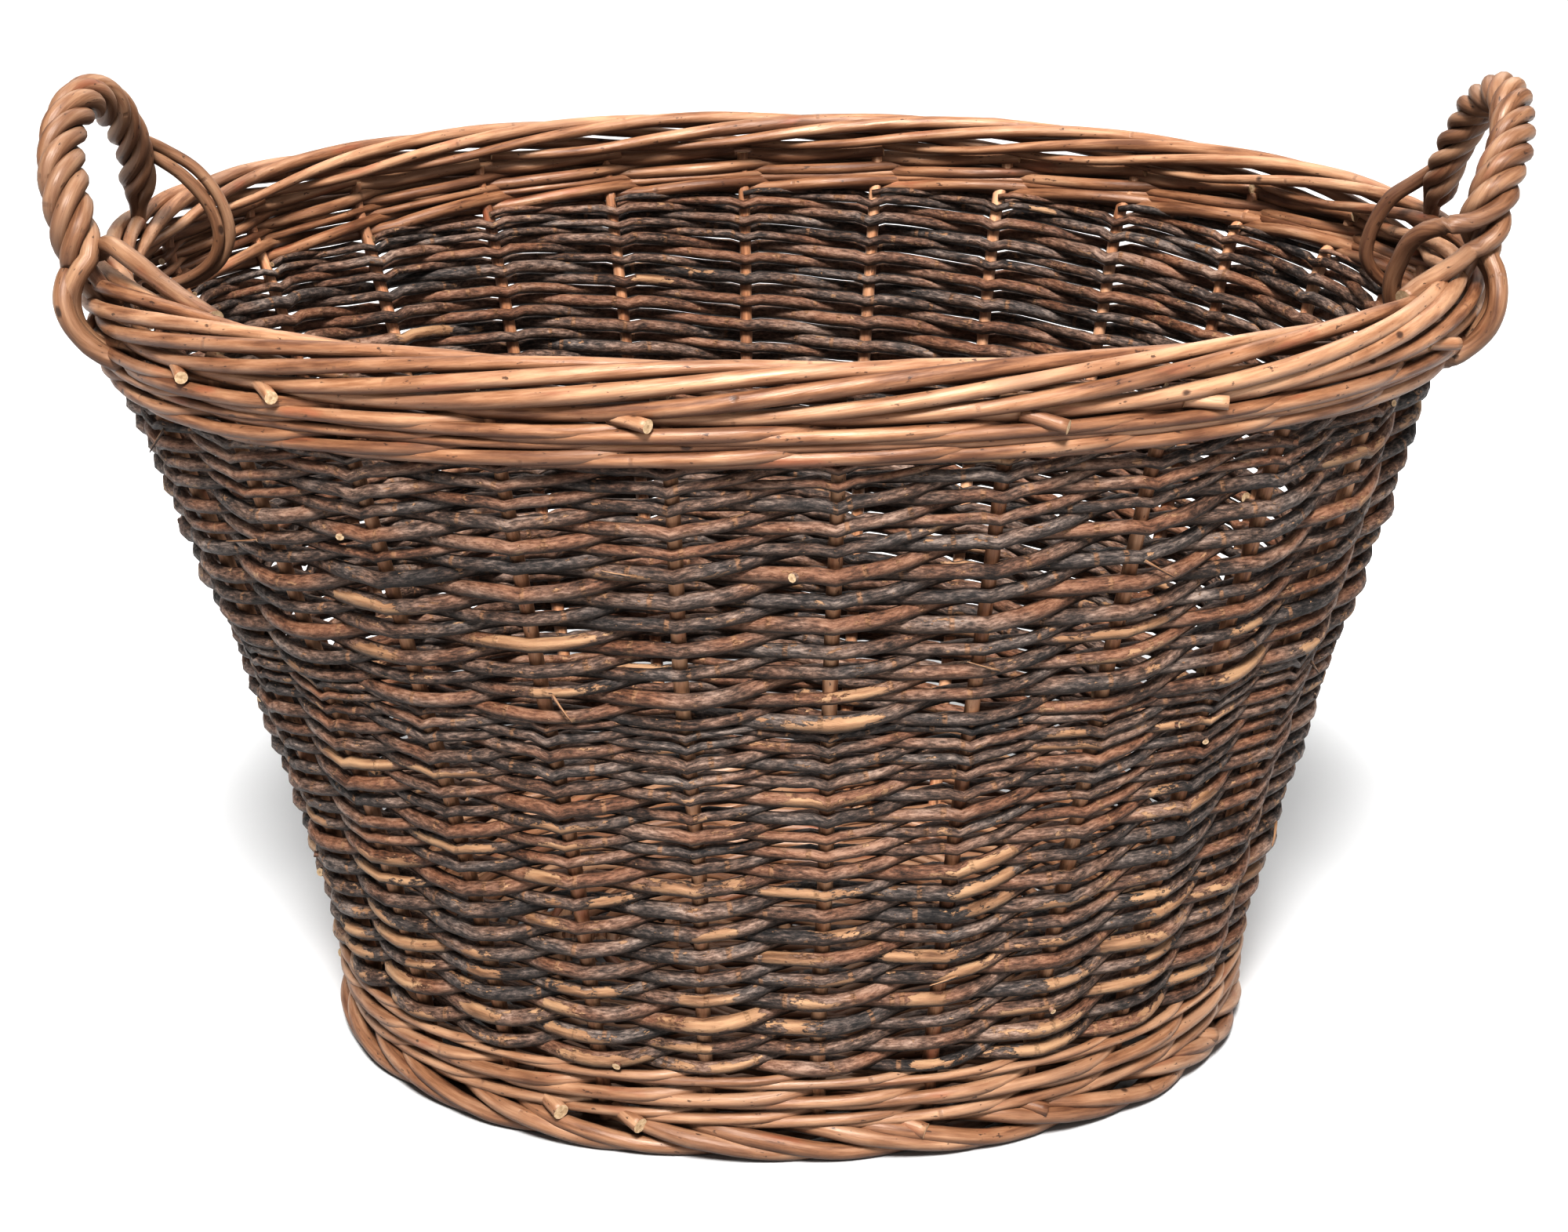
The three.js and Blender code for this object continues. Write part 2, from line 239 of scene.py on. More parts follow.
def tube_uvs(count, turns, row, per_row, all_rows):
    """Where a tube's faces lie on the UV map: its length in rows, and its ends beside the first row."""
    sides = len(turns)
    i, k = np.meshgrid(np.arange(count - 1), np.arange(sides), indexing="ij")
    which = (i // per_row) + row
    low_u = (i % per_row) / per_row * TUBE_WIDTH
    high_u = low_u + TUBE_WIDTH / per_row
    low_v = (which + ROW_MARGIN + ROW_FILL * k / sides) / all_rows
    high_v = (which + ROW_MARGIN + ROW_FILL * (k + 1) / sides) / all_rows
    corners = ((low_u, low_v), (low_u, high_v), (high_u, high_v), (high_u, low_v))
    quad_uv = np.stack([np.stack(corner, -1) for corner in corners], axis=-2)
    cap_uv = np.empty((2, sides, 3, 2))
    for end in range(2):
        middle = np.array([0.98, (row + 0.3 + 0.4 * end) / all_rows])
        spots = np.stack([np.cos(turns), np.sin(turns)], -1) * np.array([0.008, 0.12 / all_rows]) + middle
        following = np.roll(spots, -1, axis=0)
        cap_uv[end, :, 0] = middle
        cap_uv[end, :, 1], cap_uv[end, :, 2] = (spots, following) if end else (following, spots)
    return quad_uv.reshape(-1, 2), cap_uv.reshape(-1, 2)


def build_rods(name, rods, material, slot, replaces, seed, sides=8):
    """Makes one piece of many rods, with cut ends, rod coordinates for the materials and a UV map."""
    rng = np.random.default_rng(seed)
    turns = 2 * math.pi * np.arange(sides) / sides
    lengths = [np.linalg.norm(np.diff(rod.points, axis=0), axis=1).sum() for rod in rods]
    thick = max(float(rod.radii.max()) for rod in rods)
    row_length = max(math.sqrt(2 * math.pi * thick * 1.2 * sum(lengths)), 0.02)
    rows = []
    for rod, length in zip(rods, lengths):
        segments = len(rod.points) - 1
        per_row = max(1, int(segments * row_length / max(length, 1e-6)))
        rows.append((per_row, math.ceil(segments / per_row)))
    all_rows = sum(row_count for _, row_count in rows)
    coords, rod_co, rubs, seeds, faces, uvs = [], [], [], [], [], []
    start = row = 0
    for rod, (per_row, row_count) in zip(rods, rows):
        count = len(rod.points)
        rod_seed = rng.uniform(0, 1)
        along = distances(rod.points)
        local = np.empty((count, sides, 3))
        local[..., 0] = along[:, None] + rod_seed * SEED_LENGTH
        local[..., 1] = rod.radii[:, None] * np.cos(turns)
        local[..., 2] = rod.radii[:, None] * np.sin(turns)
        centres = np.zeros((2, 3))
        centres[:, 0] = [rod_seed * SEED_LENGTH, along[-1] + rod_seed * SEED_LENGTH]
        facing = np.clip(1.3 * np.cos(turns[None, :] - rod.rub_turn[:, None]), 0, 1) * rod.rub[:, None]
        coords += [rod_rings(rod, turns).reshape(-1, 3), rod.points[[0, -1]]]
        rod_co += [local.reshape(-1, 3), centres]
        rubs += [facing.reshape(-1), np.zeros(2)]
        seeds.append(np.full(count * sides + 2, rod_seed))
        faces += tube_faces(start, count, sides)
        uvs += tube_uvs(count, turns, row, per_row, all_rows)
        start += count * sides + 2
        row += row_count
    values = [np.concatenate(parts) for parts in (coords, uvs, rod_co, rubs, seeds)]
    make_piece(name, faces, *values, (material, CUT), slot, replaces)


def make_piece(name, faces, coords, uvs, rod_co, rubs, seeds, materials, slot, replaces):
    """Makes the mesh. Its three-sided faces are the flat ends, in the second material."""
    mesh = bpy.data.meshes.new(name)
    mesh.vertices.add(len(coords))
    mesh.vertices.foreach_set("co", coords.astype(np.float32).ravel())
    sizes = np.concatenate([np.full(len(some), some.shape[1]) for some in faces])
    corners = np.concatenate([some.ravel() for some in faces])
    mesh.loops.add(len(corners))
    mesh.loops.foreach_set("vertex_index", corners.astype(np.int32))
    mesh.polygons.add(len(sizes))
    mesh.polygons.foreach_set("loop_start", (np.cumsum(sizes) - sizes).astype(np.int32))
    mesh.polygons.foreach_set("material_index", (sizes == 3).astype(np.int32))
    mesh.polygons.foreach_set("use_smooth", sizes == 4)
    mesh.update(calc_edges=True)
    mesh.validate()
    mesh.uv_layers.new(name="OFBake").data.foreach_set("uv", uvs.astype(np.float32).ravel())
    place = mesh.attributes.new("rod_co", "FLOAT_VECTOR", "POINT")
    place.data.foreach_set("vector", rod_co.astype(np.float32).ravel())
    mesh.attributes.new("rub", "FLOAT", "POINT").data.foreach_set("value", rubs.astype(np.float32))
    mesh.attributes.new("seed", "FLOAT", "POINT").data.foreach_set("value", seeds.astype(np.float32))
    for material in materials:
        mesh.materials.append(material)
    piece = bpy.data.objects.new(name, mesh)
    bpy.context.scene.collection.objects.link(piece)
    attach(piece, BODY)
    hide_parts(*replaces)


# ---- Materials ----
class Nodes:
    """A short way to write a tree of shader nodes."""

    def __init__(self, tree):
        self.tree = tree

    def add(self, kind, inputs=None, **settings):
        node = self.tree.nodes.new(kind)
        for key, value in settings.items():
            setattr(node, key, value)
        for key, value in (inputs or {}).items():
            self.feed(node.inputs[key], value)
        return node

    def feed(self, socket, value):
        if isinstance(value, bpy.types.NodeSocket):
            self.tree.links.new(value, socket)
        else:
            socket.default_value = value

    def attribute(self, name, output="Fac"):
        return self.add("ShaderNodeAttribute", attribute_name=name).outputs[output]

    def scaled(self, vector, scale):
        node = self.add("ShaderNodeVectorMath", {0: vector, 1: scale}, operation="MULTIPLY")
        return node.outputs["Vector"]

    def facing_up(self):
        return self.axis(self.add("ShaderNodeNewGeometry").outputs["Normal"], 2)

    def axis(self, vector, which):
        return self.add("ShaderNodeSeparateXYZ", {0: vector}).outputs[which]

    def noise(self, vector, scale, detail=3.0, roughness=0.55):
        return self.add("ShaderNodeTexNoise", {"Vector": vector, "Scale": scale, "Detail": detail,
                                               "Roughness": roughness}).outputs["Fac"]

    def streaks(self, place, along, scale, detail=3.0, roughness=0.55):
        """Noise on a rod, drawn out along it where along is under 1."""
        return self.noise(self.scaled(place, (along, 1, 1)), scale, detail, roughness)

    def math(self, operation, a, b):
        return self.add("ShaderNodeMath", {0: a, 1: b}, operation=operation).outputs[0]

    def plus(self, value, other, times):
        return self.math("ADD", value, self.math("MULTIPLY", other, times))

    def remap(self, value, low, high, to_low=0.0, to_high=1.0):
        return self.add("ShaderNodeMapRange", {"Value": value, "From Min": low, "From Max": high,
                                               "To Min": to_low, "To Max": to_high}).outputs[0]

    def ramp(self, value, stops):
        node = self.add("ShaderNodeValToRGB", {"Fac": value})
        elements = node.color_ramp.elements
        while len(elements) < len(stops):
            elements.new(0.5)
        for element, (position, colour) in zip(elements, stops):
            element.position = position
            element.color = (*colour, 1)
        return node.outputs["Color"]

    def mix(self, share, a, b):
        node = self.add("ShaderNodeMix", data_type="RGBA")
        self.feed(node.inputs[0], share)
        self.feed(node.inputs[6], a if isinstance(a, bpy.types.NodeSocket) else (*a, 1))
        self.feed(node.inputs[7], b if isinstance(b, bpy.types.NodeSocket) else (*b, 1))
        return node.outputs[2]

    def bump(self, height, distance, strength):
        inputs = {"Height": height, "Distance": distance, "Strength": strength}
        return self.add("ShaderNodeBump", inputs).outputs["Normal"]


class Material(Nodes):
    """The nodes of a new material, with its shader."""

    def __init__(self, name):
        self.material = bpy.data.materials.new(name)
        self.material.use_nodes = True
        super().__init__(self.material.node_tree)
        self.shader = self.tree.nodes["Principled BSDF"]


def bark_material(name):
    """Brown bark, streaked along the rod, with leaf scars, chips, places rubbed bare to the wood and
    painted shade on the undersides.
    """
    n = Material(name)
    place = n.attribute("rod_co", "Vector")
    seed = n.attribute("seed")
    rub = n.attribute("rub")
    streaks = n.streaks(place, 0.30, 800, 5.0, 0.7)
    blotches = n.streaks(place, 0.45, 230, 3.0, 0.62)
    tone = n.math("ADD", n.math("MULTIPLY", streaks, 0.72), n.math("MULTIPLY", blotches, 0.32))
    stroke = n.noise(n.scaled(place, (1, 0, 0)), 13, 1.0)
    tone = n.plus(tone, stroke, 0.42)
    tone = n.math("SUBTRACT", n.plus(tone, seed, 0.05), 0.215)
    brown = n.ramp(tone, [(0.36, (0.010, 0.007, 0.006)), (0.45, (0.050, 0.031, 0.023)),
                          (0.52, (0.125, 0.076, 0.054)), (0.60, (0.26, 0.168, 0.125)),
                          (0.70, (0.44, 0.31, 0.24))])
    rust = n.ramp(tone, [(0.36, (0.018, 0.008, 0.005)), (0.46, (0.10, 0.045, 0.024)),
                         (0.55, (0.215, 0.100, 0.056)), (0.68, (0.36, 0.20, 0.125))])
    grey = n.ramp(tone, [(0.36, (0.010, 0.009, 0.009)), (0.46, (0.043, 0.034, 0.030)),
                         (0.55, (0.128, 0.097, 0.083)), (0.68, (0.35, 0.275, 0.23))])
    zone = n.streaks(place, 0.45, 34, 3.0)
    cast = n.math("ADD", zone, n.math("MULTIPLY", n.math("SUBTRACT", seed, 0.5), 0.22))
    colour = n.mix(n.remap(cast, 0.47, 0.62), brown, rust)
    colour = n.mix(n.remap(cast, 0.46, 0.36), colour, grey)
    rings = n.add("ShaderNodeTexVoronoi", {"W": n.math("MULTIPLY", n.axis(place, 0), 24.0), "Scale": 1.0},
                  voronoi_dimensions="1D").outputs["Distance"]
    ring = n.math("MULTIPLY", n.remap(rings, 0.030, 0.016), n.remap(streaks, 0.42, 0.5))
    colour = n.mix(n.math("MULTIPLY", ring, 0.75), colour, (0.36, 0.20, 0.11))
    chips = n.streaks(place, 0.5, 330, 4.0, 0.6)
    chip = n.remap(n.plus(chips, blotches, 0.35), 0.825, 0.85)
    ragged = n.streaks(place, 0.4, 260, 5.0, 0.72)
    broad = n.noise(place, 60, 2.0)
    torn = n.math("ADD", n.math("MULTIPLY", ragged, 2.2), n.math("MULTIPLY", broad, 1.0))
    bare = n.remap(n.math("ADD", rub, torn), 1.93, 1.99)
    bare = n.math("MAXIMUM", bare, n.math("MULTIPLY", chip, 0.9))
    wood = n.ramp(n.streaks(place, 0.12, 300, 4.0), [
        (0.32, (0.17, 0.085, 0.042)), (0.45, (0.365, 0.208, 0.115)), (0.62, (0.50, 0.315, 0.185))])
    colour = n.mix(bare, colour, wood)
    # Painted shade: the colour goes to near black where the surface faces down, standing in for the shade
    # under and between the rods.
    colour = n.mix(n.remap(n.facing_up(), 0.30, -0.70, 0.0, 0.88), colour, (0.010, 0.006, 0.004))
    n.feed(n.shader.inputs["Base Color"], colour)
    n.feed(n.shader.inputs["Roughness"], n.remap(tone, 0.35, 0.65, 0.7, 0.42))
    grain = n.streaks(place, 0.25, 900, 4.0, 0.7)
    height = n.math("ADD", n.math("MULTIPLY", grain, 0.7), n.math("MULTIPLY", tone, 1.2))
    height = n.math("SUBTRACT", height, n.math("MULTIPLY", bare, 0.5))
    height = n.plus(height, ring, 0.4)
    n.feed(n.shader.inputs["Normal"], n.bump(height, 0.0008, 0.9))
    return n.material


def buff_material(name, light=1.0, grey=0.0):
    """Tan peeled willow with darker clouds, red flushes, specks, knots, rings and painted shade on the
    undersides.
    """
    n = Material(name)
    place = n.attribute("rod_co", "Vector")
    seed = n.attribute("seed")
    streak = n.streaks(place, 0.10, 260, 5.0, 0.62)
    patches = n.streaks(place, 0.5, 48, 3.0)
    # The darkest colour of this list is used for the specks and knots, and also for the painted shade on
    # the undersides.
    low, middle, high, dusk, dark_mark_and_shade, red = [tuple(c * light for c in colour) for colour in (
        (0.17, 0.075, 0.038), (0.345, 0.178, 0.096), (0.56, 0.345, 0.215), (0.20, 0.105, 0.068),
        (0.055, 0.026, 0.017), (0.36, 0.125, 0.065))]
    tone = n.math("ADD", n.math("MULTIPLY", streak, 0.72), n.math("MULTIPLY", patches, 0.38))
    tone = n.math("SUBTRACT", tone, 0.1)
    tone = n.plus(tone, seed, 0.16)
    colour = n.ramp(tone, [(0.38, low), (0.50, middle), (0.66, high)])
    cloud = n.streaks(place, 0.6, 20, 3.0)
    colour = n.mix(n.remap(cloud, 0.5, 0.72, 0.0, 0.65), colour, dusk)
    flush = n.streaks(place, 0.3, 75, 3.0)
    colour = n.mix(n.remap(flush, 0.6, 0.7, 0.0, 0.55), colour, red)
    if grey:
        colour = n.mix(n.remap(n.noise(place, 17, 2.0), 0.4, 0.65, 0.0, grey), colour, (0.19, 0.125, 0.09))
    specks = n.streaks(place, 0.4, 520, 3.0)
    colour = n.mix(n.remap(specks, 0.66, 0.71, 0.0, 0.8), colour, dark_mark_and_shade)
    knots = n.add("ShaderNodeTexVoronoi", {"Vector": n.scaled(place, (0.7, 1, 1)), "Scale": 46.0,
                                           "Randomness": 1.0}).outputs["Distance"]
    knot = n.remap(n.plus(knots, streak, 0.1), 0.135, 0.10)
    colour = n.mix(n.math("MULTIPLY", knot, 0.85), colour, dark_mark_and_shade)
    rings = n.add("ShaderNodeTexVoronoi", {"W": n.math("MULTIPLY", n.axis(place, 0), 7.0), "Scale": 1.0},
                  voronoi_dimensions="1D").outputs["Distance"]
    ring = n.math("MULTIPLY", n.remap(rings, 0.008, 0.003), n.remap(streak, 0.50, 0.58))
    colour = n.mix(n.math("MULTIPLY", ring, 0.45), colour, dusk)
    # Painted shade: the colour goes towards the darkest colour where the surface faces down, standing in
    # for the shade under and between the rods.
    colour = n.mix(n.remap(n.facing_up(), 0.2, -0.75, 0.0, 0.80), colour, dark_mark_and_shade)
    n.feed(n.shader.inputs["Base Color"], colour)
    n.feed(n.shader.inputs["Roughness"], n.remap(streak, 0.3, 0.7, 0.52, 0.36))
    grain = n.streaks(place, 0.07, 700, 4.0, 0.6)
    height = n.math("ADD", n.math("MULTIPLY", grain, 0.8), n.math("MULTIPLY", knot, -0.6))
    height = n.math("SUBTRACT", height, n.math("MULTIPLY", ring, 0.4))
    n.feed(n.shader.inputs["Normal"], n.bump(height, 0.0006, 0.8))
    return n.material


def cut_material(name):
    """The pale end of a cut rod, with its pith."""
    n = Material(name)
    place = n.attribute("rod_co", "Vector")
    flat = n.scaled(place, (0, 1, 1))
    radius = n.add("ShaderNodeVectorMath", {0: flat}, operation="LENGTH").outputs["Value"]
    mottle = n.noise(place, 700, 3.0)
    wood = n.ramp(mottle, [(0.3, (0.42, 0.29, 0.17)), (0.7, (0.68, 0.53, 0.36))])
    pith = n.remap(radius, 0.0008, 0.0003)
    colour = n.mix(n.math("MULTIPLY", pith, 0.45), wood, (0.20, 0.11, 0.055))
    n.feed(n.shader.inputs["Base Color"], colour)
    n.shader.inputs["Roughness"].default_value = 0.8
    n.feed(n.shader.inputs["Normal"], n.bump(mottle, 0.0004, 0.5))
    return n.material


BARK = bark_material("brown_bark")
BUFF = buff_material("buff_willow")
# The stakes are buff willow made lighter all over: painted light that lifts them where they sit in shade
# between the strokes.
STAKE = buff_material("stake_willow", light=1.45)
ROPE = buff_material("rope_willow", light=0.74)
FOOT = buff_material("foot_willow", light=0.84)
PALE = buff_material("base_willow", light=0.9, grey=0.3)
CUT = cut_material("cut_wood")

# ---- Side weave ----
# A rod's place is counted in spaces between stakes from its start. STEPS is its samples in each space,
# and WEAVER_GROUPS the number of pieces that hold a band's weavers.
STEPS = 9
WEAVER_GROUPS = 4
STAKE_RADIUS = 3.2 * MM


def stacked(sizes):
    """The share of a band's height at which each rod of it lies when all are pressed on each other.

    sizes[rod, sample] are thicknesses. The second result is each rod's own share of the height. Above any
    place on the wall the rods follow in order of starting."""
    heights = np.zeros_like(sizes)
    shares = np.zeros_like(sizes)
    for r in range(STEPS):
        column = sizes[:, r::STEPS]
        weight = np.ones(column.shape[1])
        weight[0] = r / STEPS
        if r:
            weight[-1] = 1 - r / STEPS
        rods, spaces = np.arange(STAKES)[:, None], np.arange(column.shape[1])
        rod_here = (rods - spaces) % STAKES
        place_of_rod = (rods + spaces) % STAKES
        pile = column[rod_here, spaces] * weight
        total = pile.sum(axis=1, keepdims=True)
        middle = (np.cumsum(pile, axis=1) - pile / 2) / total
        share = column[rod_here, spaces] / total
        heights[:, r::STEPS] = middle[place_of_rod, spaces]
        shares[:, r::STEPS] = share[place_of_rod, spaces]
    return heights, shares


def row_wave(rng, stake, height, size):
    """A slow waviness shared by the rods that lie near each other."""
    wave = np.zeros_like(height)
    for turns in (2, 3, 5, 8):
        phase, climb = rng.uniform(0, 2 * math.pi), rng.uniform(25, 60)
        angle = 2 * math.pi * turns * stake / STAKES + climb * height + phase
        wave = wave + np.sin(angle) / math.sqrt(turns)
    return wave * size


def peeled(rng, passed, chance):
    """How far each place along a weaver is rubbed bare, and to which side of it, a stroke at a time."""
    rub, turn = np.zeros(len(passed)), np.zeros(len(passed))
    for stroke in range(1, int(passed[-1])):
        inside = stroke % 2 == 0
        near = np.abs(passed - stroke) < 0.5
        turn[near] = math.pi * inside + rng.normal(0, 0.55)
        if rng.uniform() < chance(stroke / passed[-1]) * (0.4 if inside else 1):
            centre, half = stroke + rng.uniform(-0.3, 0.3), rng.uniform(0.12, 0.5)
            rub = np.maximum(rub, rng.uniform(0.5, 0.95) * np.exp(-((passed - centre) / half) ** 2))
    return rub, turn


def side_shoots(rng, rod, passed, chance):
    """Short cut stubs of side shoots on a weaver's outside strokes."""
    shoots = []
    for stroke in range(1, int(passed[-1]), 2):
        if rng.uniform() < chance:
            at = int(round((stroke + rng.uniform(-0.4, 0.3)) * STEPS))
            lift = rng.uniform(-0.5, 0.7)
            away = rod.outs[at] + np.array([0, 0, lift])
            away = away + rng.uniform(-1.3, 1.3) * np.cross(rod.outs[at], [0, 0, 1])
            away /= np.linalg.norm(away)
            ends = np.array([0, 0.5, 1])[:, None] * (rod.radii[at] + rng.uniform(0.6, 1.6) * MM) * away
            shoots.append(Rod(rod.points[at] + ends, [0.6, 0, 0.8],
                              min(rod.radii[at] * 0.7, rng.uniform(1.3, 2.1) * MM)))
    return shoots


def splinters(rng, rod, passed, chance):
    """Thin slivers of torn wood that stick out of a weaver's outside strokes."""
    slivers = []
    for stroke in range(1, int(passed[-1]), 2):
        if rng.uniform() < chance:
            at = int(round((stroke + rng.uniform(-0.4, 0.4)) * STEPS))
            sideways = np.cross(rod.outs[at], [0, 0, 1]) * rng.choice([-1, 1])
            way = sideways + rod.outs[at] * rng.uniform(0.1, 0.4) + np.array([0, 0, rng.uniform(-1.2, 0.7)])
            way *= rng.uniform(7, 17) * MM / np.linalg.norm(way)
            along = np.linspace(0, 1, 5)[:, None]
            lift = rod.radii[at] * 0.9 + 1.2 * MM * along * (1 - along)
            line = rod.points[at] + rod.outs[at] * lift + way * along
            slivers.append(Rod(line, [0.1, 0, 1], np.linspace(0.75, 0.3, 5) * MM, 1.0))
    return slivers


def randing_rods(seed, bottom, top, spaces, butt, tip, bend, fullness, bare):
    """French randing: one rod from each space, each in front of one stake and behind the next, climbing.

    Each rod passes so many spaces and thins from butt to tip, late if bend is high. fullness is its
    thickness against the height that it takes up, and bare is the chance that a stroke is peeled."""
    rng = np.random.default_rng(seed)
    passed = np.linspace(0, spaces, spaces * STEPS + 1)
    taper = tip + (butt - tip) * (1 - (passed / spaces) ** bend)
    sizes = np.array([
        taper * rng.uniform(0.82, 1.18) * (1 + 0.09 * smooth_noise(rng, len(passed), STEPS * 2))
        for _ in range(STAKES)])
    middles, shares = stacked(sizes)
    pitch = shares * (top - bottom)
    waves = np.random.default_rng(seed + 500)
    state = waves.bit_generator.state
    rods = []
    for start in range(STAKES):
        radii = pitch[start] / 2 * fullness * np.interp(passed / spaces, [0.6, 1], [1, 1.15])
        radii[:STEPS // 2] = radii[STEPS // 2]
        lean = 0.6 * pitch[start] * np.sin(2 * math.pi * passed) / (2 * math.pi)
        height = bottom + (top - bottom) * middles[start] - lean
        # Every rod draws the same waves.
        waves.bit_generator.state = state
        edge = np.clip(np.minimum(height - bottom, top - height) / (20 * MM), 0, 1)
        height = height + row_wave(waves, start + passed, height, 0.9 * MM) * edge
        height = height + 0.35 * MM * smooth_noise(rng, len(passed), STEPS * 0.7)
        reach = STAKE_RADIUS + radii * 0.8
        swing = -np.cos(math.pi * passed)
        offset = reach * signed_power(swing, 0.95) + 0.7 * MM * smooth_noise(rng, len(passed), STEPS)
        rub, rub_turn = peeled(rng, passed, bare)
        points, outs = wall(start + passed, height, offset)
        rod = add_nodes(rng, Rod(points, outs, radii, rub, rub_turn), every=0.05, swell=0.13)
        rods.append([rod] + side_shoots(rng, rod, passed, 0.035) + splinters(rng, rod, passed, 0.03))
    return rods


def add_randing(node, seed, spaces, butt, tip, bend, fullness, bare):
    rods = randing_rods(seed, bottom_of(node), top_of(node), spaces, butt, tip, bend, fullness, bare)
    for group in range(WEAVER_GROUPS):
        name = f"{node}_rods_{group + 1}"
        some = [rod for family in rods[group::WEAVER_GROUPS] for rod in family]
        build_rods(name, some, BARK, "bark_willow", [node], seed + group)


def chances(*values):
    """The chance that a weaver's stroke is peeled, from the rod's butt to its tip."""
    return lambda u: np.interp(u, np.linspace(0, 1, len(values)), values)


add_randing("lower_randing", seed=11, spaces=36, butt=5.6 * MM, tip=2.6 * MM, bend=3.0, fullness=1.16,
            bare=chances(0.9, 0.75, 0.4, 0.12, 0.06))
add_randing("upper_randing", seed=12, spaces=24, butt=5.3 * MM, tip=2.1 * MM, bend=4.5, fullness=1.14,
            bare=chances(0.36, 0.2, 0.1, 0.06, 0.04))


# ---- Waling ----
# The share of a lap in which a rod steps up to the next round, and how many stakes early it starts.
STEP_UP = 0.05
START_EARLY = 2
# The walings start at this place, in stakes, at the left end.
WALE_START = 19.3


def wale_rods(seed, bottom, top, sizes):
    """Three-rod waling in level rounds: each rod passes in front of two stakes and behind one.

    sizes are the rods' thicknesses in each round, in millimetres."""
    rng = np.random.default_rng(seed)
    rounds = len(sizes)
    sizes = np.array(sizes) * MM
    middles = bottom + (top - bottom) * (np.cumsum(sizes) - sizes / 2) / sizes.sum()
    end = rounds * STAKES - 1
    rods = []
    for k in range(3):
        passed = np.linspace(-START_EARLY, end, (end + START_EARLY) * STEPS + 1)
        phase = (passed - k) / 3
        phase -= np.floor(phase)
        behind = np.exp(-((np.minimum(phase, 1 - phase)) / 0.17) ** 2)
        lap = passed / STAKES
        step = np.clip((lap - np.floor(lap) - (1 - STEP_UP)) / STEP_UP, 0, 1)
        level = np.minimum(np.floor(lap) + step * step * (3 - 2 * step), rounds - 1)
        thickness = np.interp(level, np.arange(rounds), sizes)
        radii = thickness / 2 * (0.85 + 0.09 * smooth_noise(rng, len(passed), STEPS * 2.5))
        radii *= np.interp(passed, [-START_EARLY, 1, end - 2, end], [0.5, 1, 1, 0.6])
        front = (0.7 + 0.8 * phase) * (STAKE_RADIUS + radii)
        offset = front * (1 - behind) - (STAKE_RADIUS + radii) * behind
        tilt = np.interp(phase, [0, 0.16, 0.84, 1], [0, -0.34, 0.34, 0])
        height = np.interp(level, np.arange(rounds), middles) + tilt * radii * 3.1
        height = height + 0.45 * MM * smooth_noise(rng, len(passed), STEPS * 2)
        points, outs = wall(WALE_START + passed, height, offset)
        rods.append(add_nodes(rng, Rod(points, outs, radii), swell=0.08))
    return rods


def add_wale(name, nodes, seed, sizes, material, lift=0.0):
    bottom = min(bottom_of(node) for node in nodes) + lift
    top = max(top_of(node) for node in nodes) + lift
    rods = wale_rods(seed, bottom, top, sizes)
    build_rods(name, rods, material, "buff_willow", nodes, seed, sides=10)


add_wale("upsett_waling", ["upsett_wale_lower", "upsett_wale_upper"], 21, (6.2, 7.0, 5.0), FOOT)
add_wale("top_waling", ["top_wale_lower", "top_wale_upper"], 22, (7.2, 4.6, 6.8), BUFF, lift=1 * MM)


# ---- Stakes ----
def stake_rods(seed):
    """The upright stakes, a little proud of their CAD nodes at both ends."""
    rng = np.random.default_rng(seed)
    rods = []
    bottom, top = bottom_of("stake_01") - 2 * MM, top_of("stake_01") + 6 * MM
    for i in range(STAKES):
        height = np.linspace(bottom, top, 48)
        sway = 0.02 * smooth_noise(rng, len(height), 12)
        points, outs = wall(i + sway, height, 0.4 * MM * smooth_noise(rng, len(height), 8))
        radii = np.linspace(STAKE_RADIUS * 1.06, STAKE_RADIUS * 0.9, len(height))
        rods.append(add_nodes(rng, Rod(points, outs, radii), swell=0.08))
    return rods


build_rods("stakes", stake_rods(31), STAKE, "buff_willow",
           nodes_named("stake_"), 31, sides=12)


# ---- Rim border ----
# The spaces that each border rod passes over, and half the border's width and height.
BORDER_SPACES = 7
RIM_HALF_WIDE = 12 * MM
RIM_HALF_TALL = (RIM_TOP - RIM_BOTTOM) / 2


def rim(stake, height, offset):
    """Points round the rim's middle line, and the outward directions there."""
    flat, normal = oval_points(RIM_HALF, stake_angle(stake))
    points = np.column_stack([flat + normal * np.broadcast_to(offset, len(flat))[:, None],
                              height + sag(stake, height)])
    return points, np.column_stack([normal, np.zeros(len(normal))])


